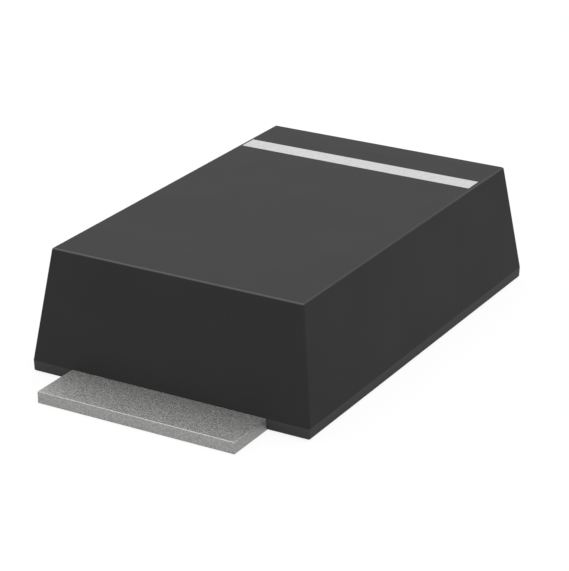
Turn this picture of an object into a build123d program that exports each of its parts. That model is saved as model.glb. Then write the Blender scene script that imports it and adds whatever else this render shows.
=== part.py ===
from build123d import *
from math import radians, tan
import os

# Surface mount Schottky rectifier diode with flat leads, in millimetres.
# The origin is the middle of the plane that the two feet stand on. X runs along
# the body with the cathode end at -X and the anode end at +X, and Z is up.

# Moulded body.
body_length = 3.70          # along X, at the parting line
body_width = 2.50           # along Y, at the parting line
body_height = 1.028         # top face above the plane of the feet
stand_off = 0.010           # underside of the moulding above that plane
upper_draft = 8.0           # degrees, sides above the parting line
lower_draft = 1.5           # degrees, sides below the parting line
body_corner_radius = 0.018  # upright corners
top_edge_radius = 0.020
bottom_edge_radius = 0.012

# Lead strips.
lead_thickness = 0.100      # the parting line lies level with the leads' tops
lead_width = 1.76
lead_reach = 0.458          # beyond the parting line, each end
foot_cover = 0.35           # length of a foot below the body, bare underneath
lead_rise = 0.20            # the raised strip stands this far above the foot
lead_bend_angle = 45.0      # degrees
lead_bend_radius = 0.05     # inside of a bend
landing_length = 0.385      # anode strip, from the bend corner inward
strip_gap = 0.22            # between the die pad and the anode landing
lock_radius = 0.12          # round notches that key the strips in the moulding
lock_inset = 0.17           # notch centre from the upper bend corner
strip_corner_radius = 0.06  # inner corners of both strips

# Chip.
die_size = 1.20             # square chip
die_thickness = 0.18
die_end_margin = 0.20       # from the chip to the anode side of the die pad
guard_margin = 0.09         # bare silicon round the anode metal
metal_thickness = 0.010
metal_corner_radius = 0.08

# Solder.
solder_thickness = 0.030
solder_flare = 0.030        # a joint reaches this much further where it wets the lower face

# Clip.
clip_thickness = 0.12
clip_width = 1.10
clip_corner_radius = 0.10
clip_rim = 0.13             # plate left round the boss toward the cathode
clip_bend_angle = 60.0      # degrees
clip_bend_radius = 0.04     # inside of a bend
clip_foot_inset = 0.05      # from the landing's inner edge to the flat of the foot
clip_foot_setback = 0.04    # from the end of the foot to where the landing bends
boss_size = 0.80            # square contact boss, pressed down from the plate
boss_depth = 0.06
boss_wall = 0.05            # the hollow above the boss is smaller by this all round
boss_corner_radius = 0.10

# Printed band.
band_width = 0.183          # along X
band_inset = 0.445          # from the cathode edge of the top face
band_side_gap = 0.013       # from the rounded edges of the top face
band_depth = 0.012          # ink, level with the top face

# Levels above the plane of the feet.
strip_top = lead_rise + lead_thickness
chip_base = strip_top + solder_thickness + metal_thickness
chip_top = chip_base + die_thickness
boss_base = chip_top + metal_thickness + solder_thickness
plate_base = boss_base + boss_depth
clip_foot_base = strip_top + solder_thickness

# Places along X, for the anode end.
top_length = body_length - 2 * (body_height - lead_thickness) * tan(radians(upper_draft))
top_width = body_width - 2 * (body_height - lead_thickness) * tan(radians(upper_draft))
lead_tip = body_length / 2 + lead_reach
foot_end = body_length / 2 - foot_cover
rise_corner = foot_end - lead_rise / tan(radians(lead_bend_angle))
lead_flat_loss = (lead_bend_radius + lead_thickness / 2) * tan(radians(lead_bend_angle / 2))
landing_edge = rise_corner - landing_length
pad_edge = landing_edge - strip_gap
die_x = pad_edge - die_end_margin - die_size / 2


def above(z, sketch):
    """The sketch at height z."""
    return Pos(0, 0, z) * sketch


def drafted_half(base, height, draft, direction):
    """Half of the moulding: from the parting line it narrows by the draft."""
    loss = 2 * height * tan(radians(draft))
    far = RectangleRounded(body_length - loss, body_width - loss, body_corner_radius)
    near = RectangleRounded(body_length, body_width, body_corner_radius)
    return loft([above(base, near), above(base + direction * height, far)], ruled=True)


def moulded_block():
    """Outside of the moulding: both halves, with eased top and bottom edges."""
    upper = drafted_half(lead_thickness, body_height - lead_thickness, upper_draft, 1)
    lower = drafted_half(lead_thickness, lead_thickness - stand_off, lower_draft, -1)
    upper = fillet(upper.faces().sort_by(Axis.Z)[-1].edges(), top_edge_radius)
    lower = fillet(lower.faces().sort_by(Axis.Z)[0].edges(), bottom_edge_radius)
    return upper + lower


def strip_profile(points, thickness, inside_radius):
    """Side view of a bent strip whose middle line runs through the points."""
    middle = FilletPolyline(*points, radius=inside_radius + thickness / 2)
    return Plane.XZ * trace(middle, line_width=thickness)


def bent_strip(points, thickness, inside_radius, outline):
    """Strip cut to the outline seen from above and bent to the side view."""
    side = strip_profile(points, thickness, inside_radius)
    bar = extrude(side, amount=body_width / 2, both=True)
    return bar & extrude(outline, amount=body_height)


def span(x0, x1, width):
    """Rectangle from x0 to x1, centred on the X axis."""
    return Pos((x0 + x1) / 2, 0) * Rectangle(x1 - x0, width)


def lock_notches(x):
    """Round notches in both sides of a strip."""
    return [Pos(x, y) * Circle(lock_radius) for y in (-lead_width / 2, lead_width / 2)]


def lead(inner_edge):
    """Foot, S-bend and raised strip, for the anode end of the body."""
    low, high = lead_thickness / 2, lead_rise + lead_thickness / 2
    points = [(lead_tip, low), (foot_end, low), (rise_corner, high), (inner_edge, high)]
    outline = span(inner_edge, lead_tip, lead_width)
    outline = fillet(outline.vertices().group_by(Axis.X)[0], strip_corner_radius)
    outline -= lock_notches(rise_corner - lock_inset)
    return bent_strip(points, lead_thickness, lead_bend_radius, outline)


def anode_lead():
    """Near lead, with a short landing for the clip."""
    return lead(landing_edge)


def cathode_lead():
    """Far lead, with the die pad: the same strip turned round and longer."""
    return Rot(0, 0, 180) * lead(-pad_edge)


def square_block(base, size, thickness, radius=0):
    """Square block centred over the chip, with its corners rounded by the radius."""
    shape = RectangleRounded(size, size, radius) if radius else Rectangle(size, size)
    return Pos(die_x, 0, base) * extrude(shape, amount=thickness)


def solder_joint(x, length, width, base, radius=0):
    """Solder under a face of this size, wider where it wets the face below."""
    top = span(-length / 2, length / 2, width)
    foot = span(-length / 2 - solder_flare, length / 2 + solder_flare, width + 2 * solder_flare)
    if radius:
        top = fillet(top.vertices(), radius)
        foot = fillet(foot.vertices(), radius + solder_flare)
    return Pos(x, 0, base) * loft([foot, above(solder_thickness, top)], ruled=True)


clip_flat_loss = (clip_bend_radius + clip_thickness / 2) * tan(radians(clip_bend_angle / 2))
clip_drop = plate_base - clip_foot_base
clip_foot_start = landing_edge + clip_foot_inset
clip_foot_stop = rise_corner - lead_flat_loss - clip_foot_setback
clip_low_corner = clip_foot_start - clip_flat_loss
clip_high_corner = clip_low_corner - clip_drop / tan(radians(clip_bend_angle))
clip_start = die_x - boss_size / 2 - clip_rim


def contact_clip():
    """Clip from the chip to the anode landing, with the boss pressed down."""
    low, high = clip_foot_base + clip_thickness / 2, plate_base + clip_thickness / 2
    points = [(clip_start, high), (clip_high_corner, high),
              (clip_low_corner, low), (clip_foot_stop, low)]
    outline = span(clip_start, clip_foot_stop, clip_width)
    outline = fillet(outline.vertices().group_by(Axis.X)[0], clip_corner_radius)
    strip = bent_strip(points, clip_thickness, clip_bend_radius, outline)
    hollow_base = plate_base + clip_thickness - boss_depth
    hollow_size = boss_size - 2 * boss_wall
    strip += square_block(boss_base, boss_size, boss_depth, boss_corner_radius)
    hollow_radius = boss_corner_radius - boss_wall
    return strip - square_block(hollow_base, hollow_size, boss_depth, hollow_radius)


def cathode_band():
    """Ink across the top, between its rounded edges and level with it."""
    rounding = top_edge_radius * tan(radians((90 - upper_draft) / 2))
    length = top_width - 2 * (rounding + band_side_gap)
    x = -(top_length / 2 - band_inset - band_width / 2)
    ink = extrude(Rectangle(band_width, length), amount=band_depth)
    return Pos(x, 0, body_height - band_depth) * ink


metal_size = die_size - 2 * guard_margin
seated = {
    "anode_lead": anode_lead(),
    "cathode_lead": cathode_lead(),
    "schottky_die": square_block(chip_base, die_size, die_thickness),
    "anode_metal": square_block(chip_top, metal_size, metal_thickness, metal_corner_radius),
    "cathode_metal": square_block(chip_base - metal_thickness, die_size, metal_thickness),
    "contact_clip": contact_clip(),
    "die_solder": solder_joint(die_x, die_size, die_size, strip_top),
    "clip_die_solder": solder_joint(die_x, boss_size, boss_size, chip_top + metal_thickness,
                                    boss_corner_radius),
    "clip_lead_solder": solder_joint((clip_foot_start + clip_foot_stop) / 2,
                                     clip_foot_stop - clip_foot_start, clip_width, strip_top),
    "cathode_band": cathode_band(),
}

# The moulding meets every piece seated in it face to face.
moulded_body = moulded_block()
for piece in seated.values():
    moulded_body -= piece

nodes = dict(seated, moulded_body=moulded_body)

os.makedirs("parts", exist_ok=True)
for name, shape in nodes.items():
    solid = shape.solid()
    solid.label = name
    export_step(solid, "parts/" + name + ".step")
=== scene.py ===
import bmesh
import bpy
from math import radians, tan
from mathutils import Matrix, Vector


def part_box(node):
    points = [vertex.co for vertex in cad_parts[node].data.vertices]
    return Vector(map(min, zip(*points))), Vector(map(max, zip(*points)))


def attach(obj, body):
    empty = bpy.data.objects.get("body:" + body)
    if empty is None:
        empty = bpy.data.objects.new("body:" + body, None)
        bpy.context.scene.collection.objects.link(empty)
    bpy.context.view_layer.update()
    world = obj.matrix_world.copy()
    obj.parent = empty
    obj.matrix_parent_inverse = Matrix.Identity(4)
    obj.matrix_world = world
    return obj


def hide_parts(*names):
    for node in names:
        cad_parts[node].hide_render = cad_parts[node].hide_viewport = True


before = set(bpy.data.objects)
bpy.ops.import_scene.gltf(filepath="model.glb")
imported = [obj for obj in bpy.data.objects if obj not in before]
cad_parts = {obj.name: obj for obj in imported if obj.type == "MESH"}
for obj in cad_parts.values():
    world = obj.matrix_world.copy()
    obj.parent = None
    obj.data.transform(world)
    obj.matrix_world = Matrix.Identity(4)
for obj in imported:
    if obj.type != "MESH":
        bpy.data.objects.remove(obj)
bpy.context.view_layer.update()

# A flat-lead surface mount rectifier diode: a moulded body, two tinned feet
# and a printed band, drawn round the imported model. Lengths are in millimetres
# until a piece is finished, when its mesh is shrunk to metres.
MM = 0.001

# Moulding.
PARTING_LEVEL = 0.1             # level with the tops of the feet
PARTING_FADE = 0.003            # the lower half's painted floor reflection fades out over twice this height
UPPER_DRAFT = radians(8.0)
LOWER_DRAFT = radians(1.5)
UPRIGHT_ROUND = 0.018           # radius of the four upright corners
TOP_ROUND = 0.020
UNDER_ROUND = 0.012
ROUND_STEPS = 6                 # faces across a rounded edge

# Leads.
STAMPED_ROUND = 0.008           # eased edges of a stamped and plated strip
STAMPED_STEPS = 3
STAMPED_TURN = radians(40)      # a stamped edge turns more than this, a bend's facets less

# Meshes.
POINT_DIGITS = 5                # decimals of a millimetre that a point keeps
MERGE_REACH = 0.0001            # points this close are one
LEVEL_REACH = 0.0005            # points this close in height lie level
FLAT_TURN = radians(0.5)        # triangles that turn less than this are one face
SHARP_TURN = radians(30)        # an edge that turns more than this is shaded sharp
SEAT_LIFT = 0.02                # the band's seat is cut open above the top by this

# Studio.
FLOOR_REACH = 400               # half the floor's width
FLOOR_DROP = 0.001              # the floor stays clear of the feet's undersides
FLOOR_GLOW = 0.90               # lifts the floor to white for the eye

# Camera, from the photograph.
CAMERA_PLACE = Vector((15.2128, 8.7733, 7.6033))
CAMERA_TURN = (radians(67.494), radians(0.0306), radians(120.0585))
CAMERA_LENS = 145.976           # for a sensor 36 mm along the long side


def linear(code):
    """An sRGB hex colour as linear red, green, blue and full alpha."""
    parts = [int(code[i:i + 2], 16) / 255 for i in (1, 3, 5)]
    return [c / 12.92 if c <= 0.04045 else ((c + 0.055) / 1.055) ** 2.4 for c in parts] + [1]


def grain(size):
    """Noise scale, for coordinates in metres, whose grains are this many millimetres."""
    return 1 / (size * MM)


def add_node(tree, kind, sockets=None, **settings):
    """Adds a node with its settings. A socket takes a value or another node's output."""
    node = tree.nodes.new(kind)
    for name, value in settings.items():
        setattr(node, name, value)
    for name, value in (sockets or {}).items():
        if isinstance(value, bpy.types.NodeSocket):
            tree.links.new(value, node.inputs[name])
        else:
            node.inputs[name].default_value = value
    return node


def new_material(name):
    """An empty material and its node tree."""
    material = bpy.data.materials.new(name)
    material.use_nodes = True
    tree = material.node_tree
    tree.nodes.clear()
    return material, tree


def edge_highlight_and_gloss(tree):
    """One on the end edges round a top face, less on the side edges, else nought.

    Those edges face partly upward, where the flats face straight up or nearly
    level. It marks where a lighter grey is painted on as a highlight, and where
    the surface is smoother."""
    normal = add_node(tree, "ShaderNodeNewGeometry").outputs["Normal"]
    part = add_node(tree, "ShaderNodeSeparateXYZ", {0: normal}).outputs
    from_side = add_node(tree, "ShaderNodeMapRange",
                         {"Value": part["Z"], "From Min": 0.45, "From Max": 0.7})
    from_top = add_node(tree, "ShaderNodeMapRange",
                        {"Value": part["Z"], "From Min": 0.995, "From Max": 0.94})
    rim = add_node(tree, "ShaderNodeMath", {0: from_side.outputs[0], 1: from_top.outputs[0]},
                   operation="MINIMUM")
    endways = add_node(tree, "ShaderNodeMath", {0: part["X"]}, operation="ABSOLUTE")
    # The painted highlight is stronger on the end edges than on the side edges.
    end_highlight_share = add_node(tree, "ShaderNodeMapRange",
                      {"Value": endways.outputs[0], "From Max": 0.4, "To Min": 0.28})
    return add_node(tree, "ShaderNodeMath", {0: rim.outputs[0], 1: end_highlight_share.outputs[0]},
                    operation="MULTIPLY").outputs[0]


def finish_material(tree, sockets):
    """Principled shader with these sockets, on the output."""
    shader = add_node(tree, "ShaderNodeBsdfPrincipled", sockets)
    add_node(tree, "ShaderNodeOutputMaterial", {"Surface": shader.outputs[0]})


def epoxy_moulding_compound():
    """Epoxy filled with fused silica, moulded in a spark-eroded cavity.

    The eye sees a very dark neutral grey with a fine even matt grain, and a
    faint clouding where the filler lies denser. The rounded edges are smoother,
    with a painted highlight in a lighter grey. The lower half has a lighter grey
    painted on it as a reflection of the pale floor. The grain, of a few
    thousandths, is drawn at 0.02 mm."""
    material, tree = new_material("epoxy_moulding_compound")
    place = add_node(tree, "ShaderNodeTexCoord").outputs["Object"]
    highlight_and_gloss = edge_highlight_and_gloss(tree)
    height = add_node(tree, "ShaderNodeSeparateXYZ", {0: place}).outputs["Z"]
    # Painted reflection of the pale floor: below the parting line the grey is lighter.
    lower = add_node(tree, "ShaderNodeMapRange",
                     {"Value": height, "From Min": (PARTING_LEVEL + PARTING_FADE) * MM,
                      "From Max": (PARTING_LEVEL - PARTING_FADE) * MM})
    cloud = add_node(tree, "ShaderNodeTexNoise",
                     {"Vector": place, "Scale": grain(0.6), "Detail": 3.0, "Roughness": 0.5})
    speck = add_node(tree, "ShaderNodeTexNoise",
                     {"Vector": place, "Scale": grain(0.02), "Detail": 2.0, "Roughness": 0.6})
    mixed = add_node(tree, "ShaderNodeMix",
                     {0: 0.35, 2: cloud.outputs["Fac"], 3: speck.outputs["Fac"]})
    upper = add_node(tree, "ShaderNodeValToRGB", {"Fac": mixed.outputs[0]})
    upper.color_ramp.elements[0].position = 0.3
    upper.color_ramp.elements[0].color = linear("#333333")
    upper.color_ramp.elements[1].position = 0.7
    upper.color_ramp.elements[1].color = linear("#383838")
    # The lower half takes the lighter grey of the painted floor reflection.
    tone_with_floor_reflection = add_node(tree, "ShaderNodeMix", {0: lower.outputs[0], 6: upper.outputs["Color"],
                                              7: linear("#494949")}, data_type="RGBA")
    # Painted highlight: the rounded edges are coloured a lighter grey.
    colour = add_node(tree, "ShaderNodeMix", {0: highlight_and_gloss, 6: tone_with_floor_reflection.outputs[2],
                                              7: linear("#555555")}, data_type="RGBA")
    matt = add_node(tree, "ShaderNodeMapRange",
                    {"Value": speck.outputs["Fac"], "From Min": 0.3, "From Max": 0.7,
                     "To Min": 0.76, "To Max": 0.82})
    rough = add_node(tree, "ShaderNodeMix", {0: highlight_and_gloss, 2: matt.outputs[0], 3: 0.3})
    bump = add_node(tree, "ShaderNodeBump",
                    {"Height": speck.outputs["Fac"], "Strength": 1.0, "Distance": 0.0008 * MM})
    finish_material(tree, {"Base Color": colour.outputs[2], "Roughness": rough.outputs[0],
                           "IOR": 1.5, "Specular IOR Level": 0.14,
                           "Normal": bump.outputs["Normal"]})
    return material


def matt_tin_plate():
    """Matt tin, electroplated on a stamped copper strip.

    The eye sees a soft grey metal with a fine sparkling grain, and a painted
    highlight in a lighter grey along the edges, which are also smoother. Its
    crystals, a few thousandths of a millimetre across, are drawn at 0.016 mm to show."""
    material, tree = new_material("matt_tin_plate")
    place = add_node(tree, "ShaderNodeTexCoord").outputs["Object"]
    highlight_and_gloss = edge_highlight_and_gloss(tree)
    crystal = add_node(tree, "ShaderNodeTexNoise",
                       {"Vector": place, "Scale": grain(0.016), "Detail": 2.0, "Roughness": 0.6})
    flat = add_node(tree, "ShaderNodeValToRGB", {"Fac": crystal.outputs["Fac"]})
    flat.color_ramp.elements[0].position = 0.3
    flat.color_ramp.elements[0].color = linear("#8b8b8a")
    flat.color_ramp.elements[1].position = 0.7
    flat.color_ramp.elements[1].color = linear("#aeaead")
    # Painted highlight: the eased edges are coloured a lighter grey.
    colour = add_node(tree, "ShaderNodeMix", {0: highlight_and_gloss, 6: flat.outputs["Color"],
                                              7: linear("#a4a4a3")}, data_type="RGBA")
    matt = add_node(tree, "ShaderNodeMapRange",
                    {"Value": crystal.outputs["Fac"], "From Min": 0.3, "From Max": 0.7,
                     "To Min": 0.55, "To Max": 0.65})
    rough = add_node(tree, "ShaderNodeMix", {0: highlight_and_gloss, 2: matt.outputs[0], 3: 0.36})
    bump = add_node(tree, "ShaderNodeBump",
                    {"Height": crystal.outputs["Fac"], "Strength": 1.0, "Distance": 0.0038 * MM})
    finish_material(tree, {"Base Color": colour.outputs[2], "Metallic": 1.0,
                           "Roughness": rough.outputs[0], "Normal": bump.outputs["Normal"]})
    return material


def white_epoxy_ink():
    """White epoxy ink, pad printed and cured.

    The eye sees an even off-white, flat and slightly chalky, that is a little
    thinner where the pad left it."""
    material, tree = new_material("white_epoxy_ink")
    place = add_node(tree, "ShaderNodeTexCoord").outputs["Object"]
    wash = add_node(tree, "ShaderNodeTexNoise",
                    {"Vector": place, "Scale": grain(0.03), "Detail": 3.0, "Roughness": 0.6})
    colour = add_node(tree, "ShaderNodeValToRGB", {"Fac": wash.outputs["Fac"]})
    colour.color_ramp.elements[0].position = 0.3
    colour.color_ramp.elements[0].color = linear("#bababa")
    colour.color_ramp.elements[1].position = 0.7
    colour.color_ramp.elements[1].color = linear("#c8c8c8")
    bump = add_node(tree, "ShaderNodeBump",
                    {"Height": wash.outputs["Fac"], "Strength": 1.0, "Distance": 0.0005 * MM})
    finish_material(tree, {"Base Color": colour.outputs["Color"], "Roughness": 0.6,
                           "IOR": 1.5, "Specular IOR Level": 0.3,
                           "Normal": bump.outputs["Normal"]})
    return material


def rolled_copper():
    """Bare copper sheet, cold rolled and stamped.

    The eye sees a warm orange metal with fine lines along the rolling."""
    material, tree = new_material("rolled_copper")
    place = add_node(tree, "ShaderNodeTexCoord").outputs["Object"]
    drawn = add_node(tree, "ShaderNodeMapping", {"Vector": place, "Scale": (0.06, 1.0, 1.0)})
    line = add_node(tree, "ShaderNodeTexNoise",
                    {"Vector": drawn.outputs["Vector"], "Scale": grain(0.01), "Detail": 3.0})
    colour = add_node(tree, "ShaderNodeValToRGB", {"Fac": line.outputs["Fac"]})
    colour.color_ramp.elements[0].color = linear("#c27a58")
    colour.color_ramp.elements[1].color = linear("#d99471")
    bump = add_node(tree, "ShaderNodeBump",
                    {"Height": line.outputs["Fac"], "Strength": 1.0, "Distance": 0.0006 * MM})
    finish_material(tree, {"Base Color": colour.outputs["Color"], "Metallic": 1.0,
                           "Roughness": 0.35, "Normal": bump.outputs["Normal"]})
    return material


def diced_silicon():
    """Silicon, ground and polished, with sawn edges.

    The eye sees a dark blue-grey mirror with a faint haze."""
    material, tree = new_material("diced_silicon")
    place = add_node(tree, "ShaderNodeTexCoord").outputs["Object"]
    haze = add_node(tree, "ShaderNodeTexNoise",
                    {"Vector": place, "Scale": grain(0.05), "Detail": 4.0})
    rough = add_node(tree, "ShaderNodeMapRange",
                     {"Value": haze.outputs["Fac"], "To Min": 0.08, "To Max": 0.25})
    finish_material(tree, {"Base Color": linear("#5c6068"), "Metallic": 1.0,
                           "Roughness": rough.outputs[0]})
    return material


def silvered_contact():
    """Evaporated contact metal with a silver top layer.

    The eye sees a pale satin silver with a fine frost."""
    material, tree = new_material("silvered_contact")
    place = add_node(tree, "ShaderNodeTexCoord").outputs["Object"]
    frost = add_node(tree, "ShaderNodeTexNoise",
                     {"Vector": place, "Scale": grain(0.015), "Detail": 2.0})
    colour = add_node(tree, "ShaderNodeValToRGB", {"Fac": frost.outputs["Fac"]})
    colour.color_ramp.elements[0].color = linear("#cfcdc6")
    colour.color_ramp.elements[1].color = linear("#e2e0da")
    finish_material(tree, {"Base Color": colour.outputs["Color"], "Metallic": 1.0,
                           "Roughness": 0.3})
    return material


def lead_rich_solder():
    """High melting solder, reflowed in forming gas.

    The eye sees a dull mid grey metal, smooth with soft ripples."""
    material, tree = new_material("lead_rich_solder")
    place = add_node(tree, "ShaderNodeTexCoord").outputs["Object"]
    ripple = add_node(tree, "ShaderNodeTexNoise",
                      {"Vector": place, "Scale": grain(0.08), "Detail": 3.0})
    colour = add_node(tree, "ShaderNodeValToRGB", {"Fac": ripple.outputs["Fac"]})
    colour.color_ramp.elements[0].color = linear("#8d8f93")
    colour.color_ramp.elements[1].color = linear("#a6a8ab")
    bump = add_node(tree, "ShaderNodeBump",
                    {"Height": ripple.outputs["Fac"], "Strength": 1.0, "Distance": 0.003 * MM})
    finish_material(tree, {"Base Color": colour.outputs["Color"], "Metallic": 1.0,
                           "Roughness": 0.4, "Normal": bump.outputs["Normal"]})
    return material


def box_of(node):
    """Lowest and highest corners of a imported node, in millimetres."""
    low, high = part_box(node)
    return Vector(low) / MM, Vector(high) / MM


def loose_object(name, bm):
    """An object that holds the mesh. Its points are rounded, so that faces which
    meet lie exactly level when one piece is cut by another."""
    for v in bm.verts:
        v.co = [round(c, POINT_DIGITS) for c in v.co]
    mesh = bpy.data.meshes.new(name)
    bm.to_mesh(mesh)
    bm.free()
    item = bpy.data.objects.new(name, mesh)
    bpy.context.collection.objects.link(item)
    return item


def merged_copy(node):
    """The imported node's shape in millimetres, with its triangles joined."""
    bm = bmesh.new()
    bm.from_mesh(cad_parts[node].data)
    bmesh.ops.scale(bm, vec=Vector((1, 1, 1)) / MM, verts=bm.verts)
    bmesh.ops.remove_doubles(bm, verts=bm.verts, dist=MERGE_REACH)
    bmesh.ops.dissolve_limit(bm, angle_limit=FLAT_TURN, verts=bm.verts, edges=bm.edges)
    return bm


def round_edges(bm, edges, offset, steps):
    """Bevels the edges to a round of this many faces."""
    bmesh.ops.bevel(bm, geom=edges, offset=offset, offset_type="OFFSET", segments=steps,
                    profile=0.5, affect="EDGES", clamp_overlap=True, loop_slide=True,
                    material=-1)


def level_edges(bm, level):
    """Edges that lie at this height."""
    return [e for e in bm.edges
            if all(abs(v.co.z - level) < LEVEL_REACH for v in e.verts)]


def moulded_form():
    """Outside of the moulding: two drafted halves with rounded edges."""
    low, high = box_of("moulded_body")
    length, width = high.x - low.x, high.y - low.y
    upper, lower = high.z - PARTING_LEVEL, PARTING_LEVEL - low.z
    bm = bmesh.new()
    bmesh.ops.create_cube(bm, size=1)
    bmesh.ops.scale(bm, vec=(length, width, upper), verts=bm.verts)
    bmesh.ops.translate(bm, vec=(0, 0, PARTING_LEVEL + upper / 2), verts=bm.verts)

    top_loss, under_loss = 2 * upper * tan(UPPER_DRAFT), 2 * lower * tan(LOWER_DRAFT)
    top = [v for v in bm.verts if v.co.z > PARTING_LEVEL + upper / 2]
    bmesh.ops.scale(bm, vec=(1 - top_loss / length, 1 - top_loss / width, 1), verts=top)

    bm.normal_update()
    floor = [f for f in bm.faces if f.normal.z < -0.9]
    grown = bmesh.ops.extrude_face_region(bm, geom=floor)["geom"]
    bmesh.ops.delete(bm, geom=floor, context="FACES_ONLY")
    under = [v for v in grown if isinstance(v, bmesh.types.BMVert)]
    bmesh.ops.translate(bm, vec=(0, 0, -lower), verts=under)
    bmesh.ops.scale(bm, vec=(1 - under_loss / length, 1 - under_loss / width, 1), verts=under)

    bm.normal_update()
    upright = [e for e in bm.edges if abs(e.verts[0].co.z - e.verts[1].co.z) > lower / 2]
    round_edges(bm, upright, UPRIGHT_ROUND, ROUND_STEPS)
    round_edges(bm, level_edges(bm, high.z),
                TOP_ROUND * tan((radians(90) - UPPER_DRAFT) / 2), ROUND_STEPS)
    round_edges(bm, level_edges(bm, low.z),
                UNDER_ROUND * tan((radians(90) - LOWER_DRAFT) / 2), ROUND_STEPS // 2)
    return bm


def eased_lead(node):
    """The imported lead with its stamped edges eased."""
    bm = merged_copy(node)
    edges = [e for e in bm.edges if e.calc_face_angle() > STAMPED_TURN]
    round_edges(bm, edges, STAMPED_ROUND, STAMPED_STEPS)
    return bm


def shrink_to_metres(item):
    """Turns a piece's mesh from millimetres to metres."""
    item.data.transform(Matrix.Scale(MM, 4))


def raise_top(bm, height):
    """Lifts the highest face, so that a cut made with the shape stays open above."""
    level = max(v.co.z for v in bm.verts)
    top = [v for v in bm.verts if v.co.z > level - LEVEL_REACH]
    bmesh.ops.translate(bm, vec=(0, 0, height), verts=top)
    return bm


def in_order(mesh):
    """A copy of the mesh with its points and faces in the order of their places."""
    places = [v.co[:] for v in mesh.vertices]
    order = sorted(range(len(places)), key=places.__getitem__)
    rank = {old: new for new, old in enumerate(order)}
    faces = []
    for face in mesh.polygons:
        corners = [rank[i] for i in face.vertices]
        first = corners.index(min(corners))
        faces.append(corners[first:] + corners[:first])
    ordered = bpy.data.meshes.new(mesh.name)
    ordered.from_pydata([places[i] for i in order], [], sorted(faces))
    return ordered


def seat_pieces(body, tools):
    """Cuts the seats of the pieces out of the body, one at a time.

    A cut leaves the points and faces in an order that changes from run to run,
    so they are put in order."""
    for tool in tools:
        cut = body.modifiers.new("seat_of_" + tool.name, "BOOLEAN")
        cut.operation = "DIFFERENCE"
        cut.solver = "EXACT"
        cut.object = tool
    shape = body.evaluated_get(bpy.context.evaluated_depsgraph_get())
    mesh = in_order(shape.data)
    body.modifiers.clear()
    body.data = mesh


def dress(item, material, slot, *nodes):
    """Shades a finished piece, gives it its material and seats it on the body."""
    item.data.materials.clear()
    item.data.materials.append(material)
    item.data.shade_smooth()
    item.data.set_sharp_from_angle(angle=SHARP_TURN)
    even = item.modifiers.new("even_shading", "WEIGHTED_NORMAL")
    even.keep_sharp = True
    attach(item, "root")
    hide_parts(*nodes)


def build_pieces(epoxy, tin):
    """The moulding and both leads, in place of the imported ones."""
    leads = {node: loose_object(node + "_plated", eased_lead(node))
             for node in ("anode_lead", "cathode_lead")}
    sealed = [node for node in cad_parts
              if node not in ("moulded_body", "cathode_band", *leads)]
    cores = [loose_object(node + "_seat", merged_copy(node)) for node in sealed]
    cores.append(loose_object("cathode_band_seat",
                              raise_top(merged_copy("cathode_band"), SEAT_LIFT)))
    body = loose_object("moulded_body_shell", moulded_form())
    seat_pieces(body, [*leads.values(), *cores])
    for core in cores:
        bpy.data.objects.remove(core)
    for item in (body, *leads.values()):
        shrink_to_metres(item)
    dress(body, epoxy, "moulding_compound", "moulded_body")
    for node, item in leads.items():
        dress(item, tin, "tinned_copper", node)


def paint_nodes(finishes):
    """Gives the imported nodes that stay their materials."""
    for node, material in finishes.items():
        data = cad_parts[node].data
        data.materials.clear()
        data.materials.append(material)


def seen_plainly(tree):
    """One for rays from the camera or off a mirror or through glass, else nought."""
    path = add_node(tree, "ShaderNodeLightPath")
    straight = add_node(tree, "ShaderNodeMath", {0: path.outputs["Is Camera Ray"],
                                                 1: path.outputs["Is Glossy Ray"]},
                        operation="MAXIMUM")
    return add_node(tree, "ShaderNodeMath", {0: straight.outputs[0],
                                             1: path.outputs["Is Transmission Ray"]},
                    operation="MAXIMUM").outputs[0]


def studio_world():
    """White all round to the eye, and a soft even light on the object."""
    world = bpy.data.worlds.new("studio_world")
    world.use_nodes = True
    tree = world.node_tree
    tree.nodes.clear()
    light = add_node(tree, "ShaderNodeBackground", {"Color": linear("#ffffff"), "Strength": 0.42})
    white = add_node(tree, "ShaderNodeBackground", {"Color": linear("#ffffff"), "Strength": 1.0})
    mixed = add_node(tree, "ShaderNodeMixShader", {0: seen_plainly(tree), 1: light.outputs[0],
                                                   2: white.outputs[0]})
    add_node(tree, "ShaderNodeOutputWorld", {"Surface": mixed.outputs[0]})
    bpy.context.scene.world = world


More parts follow.
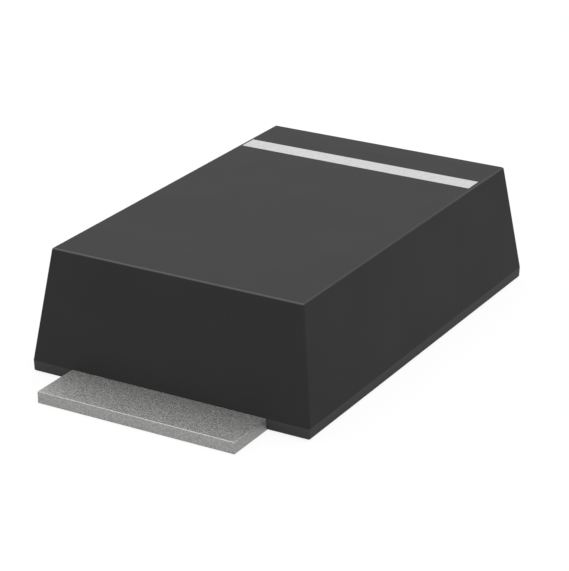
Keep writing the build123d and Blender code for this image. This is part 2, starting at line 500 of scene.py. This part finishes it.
def studio_floor():
    """Plain pale floor, white to the eye but for the object's shadow."""
    material, tree = new_material("studio_floor_paint")
    seen = seen_plainly(tree)
    tone = add_node(tree, "ShaderNodeMix", {0: seen, 6: linear("#cfcfcf"), 7: linear("#5c5c5c")},
                    data_type="RGBA")
    paint = add_node(tree, "ShaderNodeBsdfDiffuse", {"Color": tone.outputs[2]})
    lift = add_node(tree, "ShaderNodeMath", {0: seen, 1: FLOOR_GLOW}, operation="MULTIPLY")
    glow = add_node(tree, "ShaderNodeEmission", {"Color": linear("#ffffff"),
                                                 "Strength": lift.outputs[0]})
    both = add_node(tree, "ShaderNodeAddShader", {0: paint.outputs[0], 1: glow.outputs[0]})
    add_node(tree, "ShaderNodeOutputMaterial", {"Surface": both.outputs[0]})

    bm = bmesh.new()
    bmesh.ops.create_grid(bm, x_segments=1, y_segments=1, size=FLOOR_REACH)
    bmesh.ops.translate(bm, vec=(0, 0, -FLOOR_DROP), verts=bm.verts)
    floor = loose_object("studio_floor", bm)
    shrink_to_metres(floor)
    floor.data.materials.append(material)


def key_lamp(toward, spread, strength):
    """Even light from one direction. The spread is its width in degrees."""
    lamp = bpy.data.lights.new("key_lamp", "SUN")
    lamp.angle = radians(spread)
    lamp.energy = strength
    item = bpy.data.objects.new("key_lamp", lamp)
    item.rotation_euler = (-toward).to_track_quat("-Z", "Y").to_euler()
    bpy.context.collection.objects.link(item)


def photo_camera():
    """Camera at the photograph's place."""
    data = bpy.data.cameras.new("photo_camera")
    data.sensor_width = 36
    data.lens = CAMERA_LENS
    data.clip_start, data.clip_end = 1 * MM, 2000 * MM
    camera = bpy.data.objects.new("photo_camera", data)
    camera.location = CAMERA_PLACE * MM
    camera.rotation_euler = CAMERA_TURN
    bpy.context.collection.objects.link(camera)
    bpy.context.scene.camera = camera


photo_camera()
build_pieces(epoxy_moulding_compound(), matt_tin_plate())
solder = lead_rich_solder()
contact = silvered_contact()
paint_nodes({
    "cathode_band": white_epoxy_ink(),
    "contact_clip": rolled_copper(),
    "schottky_die": diced_silicon(),
    "anode_metal": contact,
    "cathode_metal": contact,
    "die_solder": solder,
    "clip_die_solder": solder,
    "clip_lead_solder": solder,
})
studio_world()
studio_floor()
key_lamp(Vector((-0.22, 0.0, 0.92)), 100, 2.4)
bpy.context.scene.view_settings.view_transform = "Standard"
